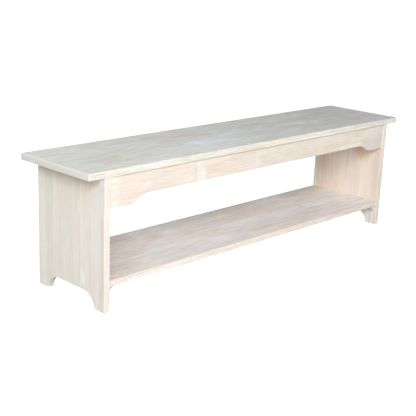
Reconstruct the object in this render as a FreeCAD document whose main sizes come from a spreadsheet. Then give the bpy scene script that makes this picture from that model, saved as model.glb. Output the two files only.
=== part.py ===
"""A plain wooden bench: a slab on two solid end panels, with curved aprons and a low shelf.

Millimetres. The origin is on the floor under the middle of the slab, +X runs along the length,
+Y to the back and +Z up. Every driving dimension is a cell of the sheet named Sizes.
"""
import FreeCAD
import Part
import Sketcher
import math
import os

from FreeCAD import Vector

SIZES = [
    ("overall_height", 428, "floor to the top of the slab"),
    ("top_length", 1524, "slab along X"),
    ("top_depth", 324, "slab along Y"),
    ("top_thickness", 21, "slab"),
    ("top_easing", 2, "rounding of the slab's arrises"),
    ("end_overhang", 58, "slab beyond the outer face of each end panel"),
    ("end_reveal", 2, "slab beyond the front and back edges of the end panels"),
    ("end_thickness", 21, "end panels"),
    ("end_easing", 1.5, "rounding of the end panels' arrises"),
    ("foot_width", 46, "each foot of an end panel, along Y"),
    ("arch_height", 47, "opening between the feet"),
    ("arch_radius", 53, "curve from each foot into the top of the opening"),
    ("apron_thickness", 20, "aprons"),
    ("apron_setback", 5, "apron behind the edge of the end panels"),
    ("apron_depth", 94, "apron at its ends, along Z"),
    ("apron_rise", 25, "how far the middle of the apron's lower edge is raised"),
    ("apron_flat", 83, "full-depth stretch at each end of the apron"),
    ("ogee_lower_radius", 30, "lower curve of the step in the apron"),
    ("ogee_upper_radius", 75, "upper curve of the step in the apron"),
    ("apron_easing", 1.5, "rounding of the apron's lower arrises"),
    ("shelf_height", 97, "floor to the top of the shelf"),
    ("shelf_thickness", 20, "shelf"),
    ("shelf_setback", 3, "shelf behind the edges of the end panels"),
    ("shelf_easing", 1.5, "rounding of the shelf's long arrises"),
    ("shelf_cleat_width", 26, "three-cornered strip under the shelf, along X"),
    ("shelf_cleat_drop", 24, "three-cornered strip under the shelf, along Z"),
    ("shelf_cleat_setback", 8, "strip's ends behind the shelf's front and back edges"),
    ("top_cleat_size", 25, "square batten under the slab at each end"),
    ("top_cleat_gap", 0.5, "between a batten's end and the apron beside it"),
    ("glue_block_size", 22, "each leg of the three-cornered blocks behind the aprons"),
    ("glue_block_length", 90, "blocks behind the aprons, along X"),
    ("glue_block_count", 3, "blocks behind each apron"),
    ("glue_block_pitch", 420, "spacing of the blocks"),
    ("dowel_diameter", 8, "wooden dowels"),
    ("dowel_length", 31, "wooden dowels"),
    ("dowel_chamfer", 1, "bevel on the dowels' ends"),
    ("dowel_in_end", 13, "how far a dowel enters an end panel"),
    ("dowel_play", 0.1, "radial play of a dowel in its hole"),
    ("dowel_end_room", 0.5, "empty depth past each end of a dowel"),
    ("apron_dowel_margin", 25, "dowel to the apron's upper or lower edge"),
    ("shelf_dowel_margin", 45, "outer dowel to the shelf's front or back edge"),
    ("screw_diameter", 4, "shank of the batten screws"),
    ("screw_length", 38, "batten screws, head included"),
    ("screw_head", 8, "head diameter"),
    ("screw_point", 5, "length of the point"),
    ("screw_recess_width", 1.2, "arms of the cross in the head"),
    ("screw_recess_span", 4.4, "length of the cross in the head"),
    ("screw_recess_depth", 1.4, "depth of the cross in the head"),
    ("screw_play", 0.1, "radial play of a screw in its hole"),
    ("screw_room", 1, "empty depth past a screw's point"),
    ("upright_screw_pitch", 90, "spacing of the screws that hold the slab"),
    ("level_screw_spacing", 90, "distance between the screws that hold a batten"),
]

# Places and lengths that follow from the driving dimensions, as sheet expressions.
END_OUTER = "(Sizes.top_length / 2 - Sizes.end_overhang)"
END_INNER = "(Sizes.top_length / 2 - Sizes.end_overhang - Sizes.end_thickness)"
END_DEPTH = "(Sizes.top_depth - 2 * Sizes.end_reveal)"
TOP_UNDERSIDE = "(Sizes.overall_height - Sizes.top_thickness)"
APRON_BACK = f"({END_DEPTH} / 2 - Sizes.apron_setback - Sizes.apron_thickness)"
APRON_FOOT = f"({TOP_UNDERSIDE} - Sizes.apron_depth)"
SHELF_DEPTH = f"({END_DEPTH} - 2 * Sizes.shelf_setback)"
SHELF_UNDERSIDE = "(Sizes.shelf_height - Sizes.shelf_thickness)"
SHELF_CLEAT_LENGTH = f"({SHELF_DEPTH} - 2 * Sizes.shelf_cleat_setback)"
BATTEN_LENGTH = f"(2 * {APRON_BACK} - 2 * Sizes.top_cleat_gap)"
DOWEL_BORE = "(Sizes.dowel_diameter + 2 * Sizes.dowel_play)"
DOWEL_HOLE_IN_END = "(Sizes.dowel_in_end + Sizes.dowel_end_room)"
DOWEL_HOLE_IN_BOARD = "(Sizes.dowel_length - Sizes.dowel_in_end + Sizes.dowel_end_room)"
SCREW_BORE = "(Sizes.screw_diameter + 2 * Sizes.screw_play)"
SCREW_HOLE = "(Sizes.screw_length - Sizes.top_cleat_size + Sizes.screw_room)"
APRON_DOWEL_Y = f"({APRON_BACK} + Sizes.apron_thickness / 2)"
UPPER_DOWEL_Z = f"({TOP_UNDERSIDE} - Sizes.apron_dowel_margin)"
LOWER_DOWEL_Z = f"({APRON_FOOT} + Sizes.apron_dowel_margin)"
SHELF_DOWEL_Y = f"({SHELF_DEPTH} / 2 - Sizes.shelf_dowel_margin)"
SHELF_DOWEL_Z = "(Sizes.shelf_height - Sizes.shelf_thickness / 2)"
BATTEN_X = f"({END_INNER} - Sizes.top_cleat_size / 2)"
BATTEN_Z = f"({TOP_UNDERSIDE} - Sizes.top_cleat_size / 2)"
LEVEL_SCREW_Y = "(Sizes.level_screw_spacing / 2)"

ROOT, START, END, CENTRE = -1, 1, 2, 3
ACROSS, UPRIGHT = -1, -2

doc = FreeCAD.newDocument("Bench")
sheet = doc.addObject("Spreadsheet::Sheet", "Sizes")
for row, (alias, number, note) in enumerate(SIZES, start=1):
    sheet.set(f"A{row}", alias)
    sheet.set(f"B{row}", str(number))
    sheet.set(f"C{row}", note)
    sheet.setAlias(f"B{row}", alias)
doc.recompute()
rows = {}


def value(expression):
    """The present number of a sheet expression."""
    return float(doc.Sizes.evalExpression(expression.replace("Sizes.", "")))


def part_body(label):
    """A body that becomes the file label.step."""
    body = doc.addObject("PartDesign::Body", label)
    body.Label = label
    rows[label] = body
    return body


def place(body, x="0", y="0", z="0"):
    """Bind a body's place to sheet expressions."""
    for axis, expression in (("x", x), ("y", y), ("z", z)):
        body.setExpression(f"Placement.Base.{axis}", expression)


def sketch_on(body, role, offset="0"):
    """A new sketch on one of the body's own origin planes, moved along the plane's normal."""
    sketch = body.newObject("Sketcher::SketchObject", f"{body.Name}_sketch")
    plane = [item for item in body.Origin.OriginFeatures if item.Role == role][0]
    sketch.AttachmentSupport = (plane, "")
    sketch.MapMode = "FlatFace"
    sketch.setExpression("AttachmentOffset.Base.z", offset)
    return sketch


def bind(sketch, kind, references, expression):
    """Add a dimension to a sketch and tie it to a sheet expression."""
    index = sketch.addConstraint(Sketcher.Constraint(kind, *references, value(expression)))
    sketch.setExpression(f"Constraints[{index}]", expression)


def relate(sketch, relations):
    """Add constraints that have no size."""
    for kind, *references in relations:
        sketch.addConstraint(Sketcher.Constraint(kind, *references))


def line(sketch, start, end):
    sketch.addGeometry(Part.LineSegment(Vector(*start, 0), Vector(*end, 0)))


def arc(sketch, centre, radius, first, last):
    circle = Part.Circle(Vector(*centre, 0), Vector(0, 0, 1), radius)
    sketch.addGeometry(Part.ArcOfCircle(circle, first, last))


def rectangle(sketch, width, height):
    """A rectangle about the sketch's origin."""
    x, y = value(width) / 2, value(height) / 2
    corners = [(-x, -y), (x, -y), (x, y), (-x, y)]
    for index, corner in enumerate(corners):
        line(sketch, corner, corners[(index + 1) % 4])
    relate(sketch, [("Coincident", index, END, (index + 1) % 4, START) for index in range(4)])
    relate(sketch, [("Horizontal", 0), ("Vertical", 1), ("Horizontal", 2), ("Vertical", 3)])
    relate(sketch, [("Symmetric", 0, START, 2, START, ROOT, START)])
    bind(sketch, "DistanceX", (0, START, 0, END), width)
    bind(sketch, "DistanceY", (1, START, 1, END), height)


def corner_triangle(sketch, across, drop):
    """A right-angled triangle under and to the positive side of the sketch's origin."""
    x, y = value(across), value(drop)
    corners = [(0, 0), (0, -y), (x, 0)]
    for index, corner in enumerate(corners):
        line(sketch, corner, corners[(index + 1) % 3])
    relate(sketch, [("Coincident", index, END, (index + 1) % 3, START) for index in range(3)])
    relate(sketch, [("Vertical", 0), ("Horizontal", 2), ("Coincident", 0, START, ROOT, START)])
    bind(sketch, "DistanceY", (0, END, 0, START), drop)
    bind(sketch, "DistanceX", (2, END, 2, START), across)


def pad(body, sketch, length, backwards=False):
    """Thicken a sketch along its normal, or against it."""
    feature = body.newObject("PartDesign::Pad", f"{body.Name}_pad")
    feature.Profile = sketch
    feature.setExpression("Length", length)
    feature.Reversed = backwards
    doc.recompute()
    return feature


def ease(body, radius, wanted):
    """Round the arrises of the body whose middle passes the test."""
    base = body.Tip
    names = []
    for index, edge in enumerate(base.Shape.Edges, start=1):
        middle = edge.valueAt((edge.FirstParameter + edge.LastParameter) / 2)
        if wanted(middle):
            names.append(f"Edge{index}")
    feature = body.newObject("PartDesign::Fillet", f"{body.Name}_easing")
    feature.Base = (base, names)
    feature.setExpression("Radius", radius)
    doc.recompute()


def bore(body, role, offset, places, diameter, depth, backwards=False):
    """Blind round holes from one plane, at places given as pairs of expressions."""
    before = body.Shape.Volume
    sketch = sketch_on(body, role, offset)
    for index, (x, y) in enumerate(places):
        centre = Vector(value(x), value(y), 0)
        sketch.addGeometry(Part.Circle(centre, Vector(0, 0, 1), value(diameter) / 2))
        bind(sketch, "DistanceX", (ROOT, START, index, CENTRE), x)
        bind(sketch, "DistanceY", (ROOT, START, index, CENTRE), y)
        bind(sketch, "Diameter", (index,), diameter)
    feature = body.newObject("PartDesign::Pocket", f"{body.Name}_holes")
    feature.Profile = sketch
    feature.setExpression("Length", depth)
    feature.Reversed = backwards
    doc.recompute()
    cut = len(places) * math.pi * (value(diameter) / 2) ** 2 * value(depth)
    if abs(before - body.Shape.Volume - cut) > cut / 100:
        raise ValueError(f"{body.Label}: a row of holes missed the wood")


def screw_holes(body, role, offset, places, backwards=False):
    """Countersunk through holes for the batten screws."""
    before = body.Shape.Volume
    sketch = sketch_on(body, role, offset)
    for index, (x, y) in enumerate(places):
        centre = Vector(value(x), value(y), 0)
        sketch.addGeometry(Part.Circle(centre, Vector(0, 0, 1), value(SCREW_BORE) / 2))
        bind(sketch, "DistanceX", (ROOT, START, index, CENTRE), x)
        bind(sketch, "DistanceY", (ROOT, START, index, CENTRE), y)
        bind(sketch, "Diameter", (index,), SCREW_BORE)
    doc.recompute()
    feature = body.newObject("PartDesign::Hole", f"{body.Name}_screw_holes")
    feature.Profile = sketch
    feature.DepthType = "ThroughAll"
    feature.ThreadType = "None"
    feature.HoleCutType = "Countersink"
    feature.HoleCutCustomValues = True
    feature.HoleCutCountersinkAngle = 90
    feature.setExpression("Diameter", SCREW_BORE)
    feature.setExpression("HoleCutDiameter", "Sizes.screw_head + 2 * Sizes.screw_play")
    feature.Reversed = backwards
    doc.recompute()
    least = len(places) * math.pi * (value(SCREW_BORE) / 2) ** 2 * value("Sizes.top_cleat_size")
    if before - body.Shape.Volume < least:
        raise ValueError(f"{body.Label}: a row of screw holes missed the wood")


def batten_screw_places(sign):
    """Where the upright screws stand in plan at one end of the bench."""
    x = f"{sign} * {BATTEN_X}"
    return [(x, "-Sizes.upright_screw_pitch"), (x, "0"), (x, "Sizes.upright_screw_pitch")]


def top_board():
    """The slab, drilled underneath for the batten screws."""
    body = part_body("top_board")
    sketch = sketch_on(body, "XY_Plane")
    rectangle(sketch, "Sizes.top_length", "Sizes.top_depth")
    pad(body, sketch, "Sizes.top_thickness")
    ease(body, "Sizes.top_easing", lambda point: True)
    places = batten_screw_places(-1) + batten_screw_places(1)
    bore(body, "XY_Plane", "0", places, SCREW_BORE, SCREW_HOLE, backwards=True)
    place(body, z=TOP_UNDERSIDE)


def end_outline(sketch):
    """Panel with two feet: an opening at the floor whose upper corners are swept curves."""
    half = value(END_DEPTH) / 2
    toe = half - value("Sizes.foot_width")
    rise = value("Sizes.arch_height")
    radius = value("Sizes.arch_radius")
    height = value(TOP_UNDERSIDE)
    lift = math.asin((radius - rise) / radius)
    crown = toe - radius * math.cos(lift)
    line(sketch, (-half, 0), (-toe, 0))
    arc(sketch, (-crown, rise - radius), radius, math.pi / 2, math.pi - lift)
    line(sketch, (-crown, rise), (crown, rise))
    arc(sketch, (crown, rise - radius), radius, lift, math.pi / 2)
    line(sketch, (toe, 0), (half, 0))
    line(sketch, (half, 0), (half, height))
    line(sketch, (half, height), (-half, height))
    line(sketch, (-half, height), (-half, 0))
    relate(sketch, [
        ("Tangent", 1, START, 2, START), ("Tangent", 2, END, 3, END),
        ("Coincident", 0, END, 1, END), ("Coincident", 3, START, 4, START),
        ("Coincident", 4, END, 5, START), ("Coincident", 5, END, 6, START),
        ("Coincident", 6, END, 7, START), ("Coincident", 7, END, 0, START),
        ("Horizontal", 0), ("Horizontal", 4), ("Horizontal", 6), ("Vertical", 5), ("Vertical", 7),
        ("Symmetric", 0, START, 4, END, UPRIGHT), ("Symmetric", 2, START, 2, END, UPRIGHT),
        ("Equal", 1, 3), ("PointOnObject", 0, START, ACROSS),
    ])
    bind(sketch, "DistanceX", (0, START, 4, END), END_DEPTH)
    bind(sketch, "DistanceX", (0, START, 0, END), "Sizes.foot_width")
    bind(sketch, "Radius", (1,), "Sizes.arch_radius")
    bind(sketch, "DistanceY", (0, END, 2, START), "Sizes.arch_height")
    bind(sketch, "DistanceY", (5, START, 5, END), TOP_UNDERSIDE)


def end_panel(label, sign):
    """An end panel, drilled on its inner face for the aprons, the shelf and the batten."""
    body = part_body(label)
    sketch = sketch_on(body, "YZ_Plane")
    end_outline(sketch)
    pad(body, sketch, "Sizes.end_thickness")
    ease(body, "Sizes.end_easing", lambda point: point.z < value(TOP_UNDERSIDE) - value("Sizes.end_easing"))
    inner = "Sizes.end_thickness" if sign < 0 else "0"
    dowels = [(f"{side} * {APRON_DOWEL_Y}", z) for side in (-1, 1) for z in (LOWER_DOWEL_Z, UPPER_DOWEL_Z)]
    dowels += [(f"-{SHELF_DOWEL_Y}", SHELF_DOWEL_Z), ("0", SHELF_DOWEL_Z), (SHELF_DOWEL_Y, SHELF_DOWEL_Z)]
    bore(body, "YZ_Plane", inner, dowels, DOWEL_BORE, DOWEL_HOLE_IN_END, backwards=sign > 0)
    screws = [(f"-{LEVEL_SCREW_Y}", BATTEN_Z), (LEVEL_SCREW_Y, BATTEN_Z)]
    bore(body, "YZ_Plane", inner, screws, SCREW_BORE, SCREW_HOLE, backwards=sign > 0)
    place(body, x=f"-{END_OUTER}" if sign < 0 else END_INNER)


def apron_outline(sketch):
    """Long rail whose lower edge steps up through an ogee near each end."""
    half = value(END_INNER)
    depth = value("Sizes.apron_depth")
    rise = value("Sizes.apron_rise")
    low = value("Sizes.ogee_lower_radius")
    high = value("Sizes.ogee_upper_radius")
    turn = math.acos(1 - rise / (low + high))
    flat = half - value("Sizes.apron_flat")
    middle = flat - (low + high) * math.sin(turn)
    line(sketch, (-half, 0), (-flat, 0))
    arc(sketch, (-flat, low), low, -math.pi / 2, -math.pi / 2 + turn)
    arc(sketch, (-middle, rise - high), high, math.pi / 2, math.pi / 2 + turn)
    line(sketch, (-middle, rise), (middle, rise))
    arc(sketch, (middle, rise - high), high, math.pi / 2 - turn, math.pi / 2)
    arc(sketch, (flat, low), low, -math.pi / 2 - turn, -math.pi / 2)
    line(sketch, (flat, 0), (half, 0))
    line(sketch, (half, 0), (half, depth))
    line(sketch, (half, depth), (-half, depth))
    line(sketch, (-half, depth), (-half, 0))
    relate(sketch, [
        ("Tangent", 0, END, 1, START), ("Tangent", 1, END, 2, END), ("Tangent", 2, START, 3, START),
        ("Tangent", 3, END, 4, END), ("Tangent", 4, START, 5, START), ("Tangent", 5, END, 6, START),
        ("Coincident", 6, END, 7, START), ("Coincident", 7, END, 8, START),
        ("Coincident", 8, END, 9, START), ("Coincident", 9, END, 0, START),
        ("Horizontal", 0), ("Horizontal", 6), ("Horizontal", 8), ("Vertical", 7), ("Vertical", 9),
        ("Symmetric", 0, START, 6, END, UPRIGHT), ("Symmetric", 3, START, 3, END, UPRIGHT),
        ("Equal", 1, 5), ("Equal", 2, 4), ("PointOnObject", 0, START, ACROSS),
    ])
    bind(sketch, "Radius", (1,), "Sizes.ogee_lower_radius")
    bind(sketch, "Radius", (2,), "Sizes.ogee_upper_radius")
    bind(sketch, "DistanceX", (0, START, 0, END), "Sizes.apron_flat")
    bind(sketch, "DistanceX", (0, START, 6, END), f"2 * {END_INNER}")
    bind(sketch, "DistanceY", (7, START, 7, END), "Sizes.apron_depth")
    bind(sketch, "DistanceY", (0, END, 3, START), "Sizes.apron_rise")


def apron(label, sign):
    """A curved rail between the end panels, drilled in both ends for dowels."""
    body = part_body(label)
    sketch = sketch_on(body, "XZ_Plane")
    apron_outline(sketch)
    pad(body, sketch, "Sizes.apron_thickness", backwards=sign > 0)
    easing = value("Sizes.apron_easing")
    half = value(END_INNER)
    top = value("Sizes.apron_depth")
    ease(body, "Sizes.apron_easing", lambda point: abs(point.x) < half - easing and point.z < top - easing)
    middle = f"{sign} * Sizes.apron_thickness / 2"
    upper = "Sizes.apron_depth - Sizes.apron_dowel_margin"
    places = [(middle, "Sizes.apron_dowel_margin"), (middle, upper)]
    bore(body, "YZ_Plane", END_INNER, places, DOWEL_BORE, DOWEL_HOLE_IN_BOARD)
    bore(body, "YZ_Plane", f"-{END_INNER}", places, DOWEL_BORE, DOWEL_HOLE_IN_BOARD, backwards=True)
    place(body, y=f"{sign} * {APRON_BACK}", z=APRON_FOOT)


def shelf_board():
    """The low shelf between the end panels."""
    body = part_body("shelf_board")
    sketch = sketch_on(body, "XY_Plane")
    rectangle(sketch, f"2 * {END_INNER}", SHELF_DEPTH)
    pad(body, sketch, "Sizes.shelf_thickness")
    easing = value("Sizes.shelf_easing")
    half = value(END_INNER)
    edge = value(SHELF_DEPTH) / 2
    ease(body, "Sizes.shelf_easing",
         lambda point: abs(point.x) < half - easing and abs(point.y) > edge - easing)
    middle = "Sizes.shelf_thickness / 2"
    places = [(f"-{SHELF_DOWEL_Y}", middle), ("0", middle), (SHELF_DOWEL_Y, middle)]
    bore(body, "YZ_Plane", END_INNER, places, DOWEL_BORE, DOWEL_HOLE_IN_BOARD)
    bore(body, "YZ_Plane", f"-{END_INNER}", places, DOWEL_BORE, DOWEL_HOLE_IN_BOARD, backwards=True)
    place(body, z=SHELF_UNDERSIDE)


def shelf_cleat(label, sign):
    """Three-cornered strip glued under the shelf against an end panel, a little short of its edges."""
    body = part_body(label)
    sketch = sketch_on(body, "XZ_Plane")
    corner_triangle(sketch, "Sizes.shelf_cleat_width", "Sizes.shelf_cleat_drop")
    pad(body, sketch, SHELF_CLEAT_LENGTH)
    if sign > 0:
        body.Placement.Rotation = FreeCAD.Rotation(Vector(0, 0, 1), 180)
    place(body, x=f"{sign} * {END_INNER}", y=f"-{sign} * {SHELF_CLEAT_LENGTH} / 2", z=SHELF_UNDERSIDE)


def top_cleat(label, sign):
    """Square batten in the corner of slab and end panel, screwed to both."""
    body = part_body(label)
    sketch = sketch_on(body, "XZ_Plane", f"-{BATTEN_LENGTH} / 2")
    rectangle(sketch, "Sizes.top_cleat_size", "Sizes.top_cleat_size")
    pad(body, sketch, BATTEN_LENGTH)
    upright = [("0", "-Sizes.upright_screw_pitch"), ("0", "0"), ("0", "Sizes.upright_screw_pitch")]
    screw_holes(body, "XY_Plane", "-Sizes.top_cleat_size / 2", upright, backwards=True)
    level = [(f"-{LEVEL_SCREW_Y}", "0"), (LEVEL_SCREW_Y, "0")]
    face = f"{-sign} * Sizes.top_cleat_size / 2"
    screw_holes(body, "YZ_Plane", face, level, backwards=sign > 0)
    place(body, x=f"{sign} * {BATTEN_X}", z=BATTEN_Z)


def glue_block(label, sign, step):
    """Three-cornered block glued into the corner of slab and apron."""
    body = part_body(label)
    sketch = sketch_on(body, "YZ_Plane", "-Sizes.glue_block_length / 2")
    corner_triangle(sketch, "Sizes.glue_block_size", "Sizes.glue_block_size")
    pad(body, sketch, "Sizes.glue_block_length")
    if sign > 0:
        body.Placement.Rotation = FreeCAD.Rotation(Vector(0, 0, 1), 180)
    place(body, x=f"{step} * Sizes.glue_block_pitch", y=f"{sign} * {APRON_BACK}", z=TOP_UNDERSIDE)


def fastener_group(label, shapes):
    """Identical fasteners as one file of separate solids."""
    group = doc.addObject("Part::Feature", label)
    group.Label = label
    group.Shape = Part.makeCompound(shapes)
    rows[label] = group


def dowel(sign, y, z):
    """A level dowel across the joint at one end of the bench, bevelled at both ends."""
    radius = value("Sizes.dowel_diameter") / 2
    length = value("Sizes.dowel_length")
    start = value(END_INNER) + value("Sizes.dowel_in_end") - length
    rod = Part.makeCylinder(radius, length)
    rims = [edge for edge in rod.Edges if isinstance(edge.Curve, Part.Circle)]
    rod = rod.makeChamfer(value("Sizes.dowel_chamfer"), rims)
    rod.rotate(Vector(0, 0, 0), Vector(0, 1, 0), 90 * sign)
    rod.translate(Vector(sign * start, y, z))
    return rod


def screw():
    """A countersunk screw that points up, with its head's flat face at the origin."""
    shank = value("Sizes.screw_diameter") / 2
    head = value("Sizes.screw_head") / 2
    length = value("Sizes.screw_length")
    point = value("Sizes.screw_point")
    outline = [(0, 0), (head, 0), (shank, head - shank), (shank, length - point), (0, length), (0, 0)]
    profile = Part.makePolygon([Vector(x, 0, z) for x, z in outline])
    body = Part.Face(profile).revolve(Vector(0, 0, 0), Vector(0, 0, 1), 360)
    span = value("Sizes.screw_recess_span")
    width = value("Sizes.screw_recess_width")
    depth = value("Sizes.screw_recess_depth")
    for x, y in ((span, width), (width, span)):
        body = body.cut(Part.makeBox(x, y, depth, Vector(-x / 2, -y / 2, 0)))
    return body


def dowel_groups():
    """Two dowels in each end of each apron and three in each end of the shelf."""
    apron_y = value(APRON_DOWEL_Y)
    heights = (value(LOWER_DOWEL_Z), value(UPPER_DOWEL_Z))
    ends = (-1, 1)
    fastener_group("apron_dowels", [dowel(sign, side * apron_y, z)
                                    for sign in ends for side in (-1, 1) for z in heights])
    shelf_y = value(SHELF_DOWEL_Y)
    shelf_z = value(SHELF_DOWEL_Z)
    fastener_group("shelf_dowels", [dowel(sign, side * shelf_y, shelf_z)
                                    for sign in ends for side in (-1, 0, 1)])


def batten_screws():
    """Three screws up into the slab and two out into the panel, at each end."""
    size = value("Sizes.top_cleat_size")
    shapes = []
    for sign in (-1, 1):
        for step in (-1, 0, 1):
            upright = screw()
            y = step * value("Sizes.upright_screw_pitch")
            upright.translate(Vector(sign * value(BATTEN_X), y, value(TOP_UNDERSIDE) - size))
            shapes.append(upright)
        for side in (-1, 1):
            level = screw()
            level.rotate(Vector(0, 0, 0), Vector(0, 1, 0), 90 * sign)
            x = sign * (value(END_INNER) - size)
            level.translate(Vector(x, side * value(LEVEL_SCREW_Y), value(BATTEN_Z)))
            shapes.append(level)
    fastener_group("cleat_screws", shapes)


def glue_blocks():
    """A row of blocks behind each apron, evenly spaced about the middle."""
    count = int(value("Sizes.glue_block_count"))
    for name, sign in (("front", -1), ("rear", 1)):
        for index in range(count):
            glue_block(f"{name}_glue_block_{index + 1}", sign, index - (count - 1) / 2)


def check_and_write():
    """Stop on any failed object or broken solid, then write one file per piece."""
    doc.recompute()
    for item in doc.Objects:
        if "Invalid" in item.State or "Error" in item.State:
            raise ValueError(f"{item.Label} failed: {item.State}")
    os.makedirs("parts", exist_ok=True)
    for label, item in rows.items():
        if item.Shape.isNull() or not item.Shape.isValid():
            raise ValueError(f"{label} has no valid shape")
        item.Shape.exportStep(f"parts/{label}.step")
        print(f"{label}: {len(item.Shape.Solids)} solids, {item.Shape.Volume / 1000:.1f} cm3")


top_board()
end_panel("left_end_panel", -1)
end_panel("right_end_panel", 1)
apron("front_apron", -1)
apron("rear_apron", 1)
shelf_board()
shelf_cleat("left_shelf_cleat", -1)
shelf_cleat("right_shelf_cleat", 1)
top_cleat("left_top_cleat", -1)
top_cleat("right_top_cleat", 1)
glue_blocks()
dowel_groups()
batten_screws()
check_and_write()
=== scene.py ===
# %% [markdown]
# # A bare wooden bench
# A thin slab rests on two solid end panels. Two shaped aprons and a low shelf tie the ends together,
# and strips, battens and blocks stiffen the corners underneath. The wood is pale, edge-glued from
# narrow staves, sanded and left bare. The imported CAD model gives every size; this script rebuilds
# the boards as finer surfaces, gives all of it a finish and lights it like a catalogue picture.

# %% Load the measured frame
import math

import bmesh
import bpy
import numpy as np
from mathutils import Euler, Matrix, Vector


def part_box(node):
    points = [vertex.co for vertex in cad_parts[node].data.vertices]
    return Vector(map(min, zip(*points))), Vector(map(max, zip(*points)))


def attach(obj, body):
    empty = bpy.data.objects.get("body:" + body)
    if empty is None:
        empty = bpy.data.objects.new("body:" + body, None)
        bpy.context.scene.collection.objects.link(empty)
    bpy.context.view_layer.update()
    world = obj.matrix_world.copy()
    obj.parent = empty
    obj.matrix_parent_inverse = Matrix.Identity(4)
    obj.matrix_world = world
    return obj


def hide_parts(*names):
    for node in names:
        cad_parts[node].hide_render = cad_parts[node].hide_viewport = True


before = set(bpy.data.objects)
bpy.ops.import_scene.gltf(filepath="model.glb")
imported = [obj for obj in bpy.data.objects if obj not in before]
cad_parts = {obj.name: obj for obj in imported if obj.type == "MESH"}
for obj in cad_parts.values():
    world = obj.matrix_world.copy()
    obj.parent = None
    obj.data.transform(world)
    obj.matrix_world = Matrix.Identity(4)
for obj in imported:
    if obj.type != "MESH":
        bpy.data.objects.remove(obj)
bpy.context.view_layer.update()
MM = 0.001
print("nodes:", ", ".join(sorted(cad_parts)))

# %% [markdown]
# ## The camera
# The picture was taken from in front of the left end, a little above the slab, with a long lens.
# A new camera looks straight down. Three turns point it, each about an axis that the turns before
# have moved: round the bench, up from straight down, and a slight tilt of the horizon. All numbers
# come from fitting the bench's corners to the picture.

# %% Point the camera
CAMERA_PLACE = (-2.1914, -1.9837, 1.0201)
CAMERA_TURNS = (("Z", -46.2576), ("X", 90 - 16.3592), ("Z", 2.3973))
LENS_MM = 75.32
CLIP_END = 200

camera = bpy.data.objects.new("camera", bpy.data.cameras.new("camera"))
pose = Matrix.Translation(CAMERA_PLACE)
for axis, degrees in CAMERA_TURNS:
    pose = pose @ Matrix.Rotation(math.radians(degrees), 4, axis)
camera.matrix_world = pose
camera.data.lens = LENS_MM
camera.data.clip_end = CLIP_END
bpy.context.scene.collection.objects.link(camera)
bpy.context.scene.camera = camera
print("camera looks along", [round(-x, 3) for x in pose.col[2][:3]])

# %% [markdown]
# ## A shorthand for shader nodes
# A procedural finish is a small calculation carried out at every point of the surface. Writing each
# node and link by hand takes many lines, so a helper adds a node, fills its sockets with numbers
# or links and gives back what comes out of it.

# %% Node helper
VECTOR_SOCKETS = ("Vector", "Local", "Centre", "Half Size")


class Desk:
    """One shader tree, with short ways to add nodes to it. Colours are given as three numbers."""

    def __init__(self, tree):
        self.tree = tree

    def fill(self, node, sources):
        """Links each socket to its source, or sets it to a number, a vector or a colour."""
        for key, source in dict(sources).items():
            socket = node.inputs[key]
            if isinstance(source, bpy.types.NodeSocket):
                self.tree.links.new(source, socket)
            else:
                socket.default_value = (*source, 1.0) if socket.type == "RGBA" else source

    def put(self, kind, sources=(), **settings):
        """Adds a node, sets it up, fills its sockets and gives back what comes out of it."""
        node = self.tree.nodes.new("ShaderNode" + kind)
        for name, setting in settings.items():
            setattr(node, name, setting)
        self.fill(node, sources)
        return node.outputs

    def math(self, operation, *values):
        return self.put("Math", enumerate(values), operation=operation)[0]

    def times(self, value, factor, offset=0.0):
        """A product, and a sum with what comes third."""
        return self.math("MULTIPLY_ADD", value, factor, offset)

    def vector(self, operation, *values):
        outputs = self.put("VectorMath", enumerate(values), operation=operation)
        return outputs["Value" if operation == "LENGTH" else "Vector"]

    def parts(self, vector):
        return self.put("SeparateXYZ", {0: vector})

    def join(self, *values):
        return self.put("CombineXYZ", enumerate(values))[0]

    def noise(self, vector, along, across, detail=2.0, distortion=0.0):
        """Noise from 0 to 1 with so many cells in a metre along the first axis and across it."""
        scaled = self.vector("MULTIPLY", vector, (along, across, across))
        facts = {"Vector": scaled, "Scale": 1.0, "Detail": detail, "Distortion": distortion}
        return self.put("TexNoise", facts)["Fac"]

    def ease(self, *values):
        """A smooth step from 0 to 1, or between two further values, as the first value goes from the
        second to the third."""
        return self.put("MapRange", enumerate(values), interpolation_type="SMOOTHSTEP")["Result"]

    def mix(self, factor, first, second, mode="MIX"):
        """The first colour where factor is 0, the second where it is 1."""
        return self.put("Mix", {0: factor, 6: first, 7: second}, data_type="RGBA", blend_type=mode)[2]

    def lay(self, colour, mask, strength, shade):
        """A shade laid over a colour where the mask is, with the given strength."""
        return self.mix(self.times(mask, strength), colour, shade)

    def use(self, group, **sources):
        named = {key.replace("_", " "): source for key, source in sources.items()}
        return self.put("Group", named, node_tree=group)


def effect(name, inputs, outputs):
    """A new node group with named sockets: its desk, what comes in and the node that gives out."""
    group = bpy.data.node_groups.new(name, "ShaderNodeTree")
    for direction, labels in (("INPUT", inputs), ("OUTPUT", outputs)):
        for label in labels:
            kind = "NodeSocketVector" if label in VECTOR_SOCKETS else "NodeSocketFloat"
            group.interface.new_socket(label, in_out=direction, socket_type=kind)
    entry, leave = group.nodes.new("NodeGroupInput"), group.nodes.new("NodeGroupOutput")
    return group, Desk(group), entry.outputs, leave


def plain_material(name):
    """A new material, its Principled shader and a desk for its tree."""
    material = bpy.data.materials.new(name)
    material.use_nodes = True
    return material, material.node_tree.nodes["Principled BSDF"], Desk(material.node_tree)


def grey(value):
    return (value, value, value)


print("node helper ready")

# %% [markdown]
# ## The studio
# Catalogue pictures of pale furniture are taken on a white sweep that is lit until it burns out.
# Here the floor glows faintly by itself, so it stays white while the bench still throws a soft
# contact shadow on it. The sky is a plain gradient: bright near the horizon, dimmer overhead.

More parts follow.
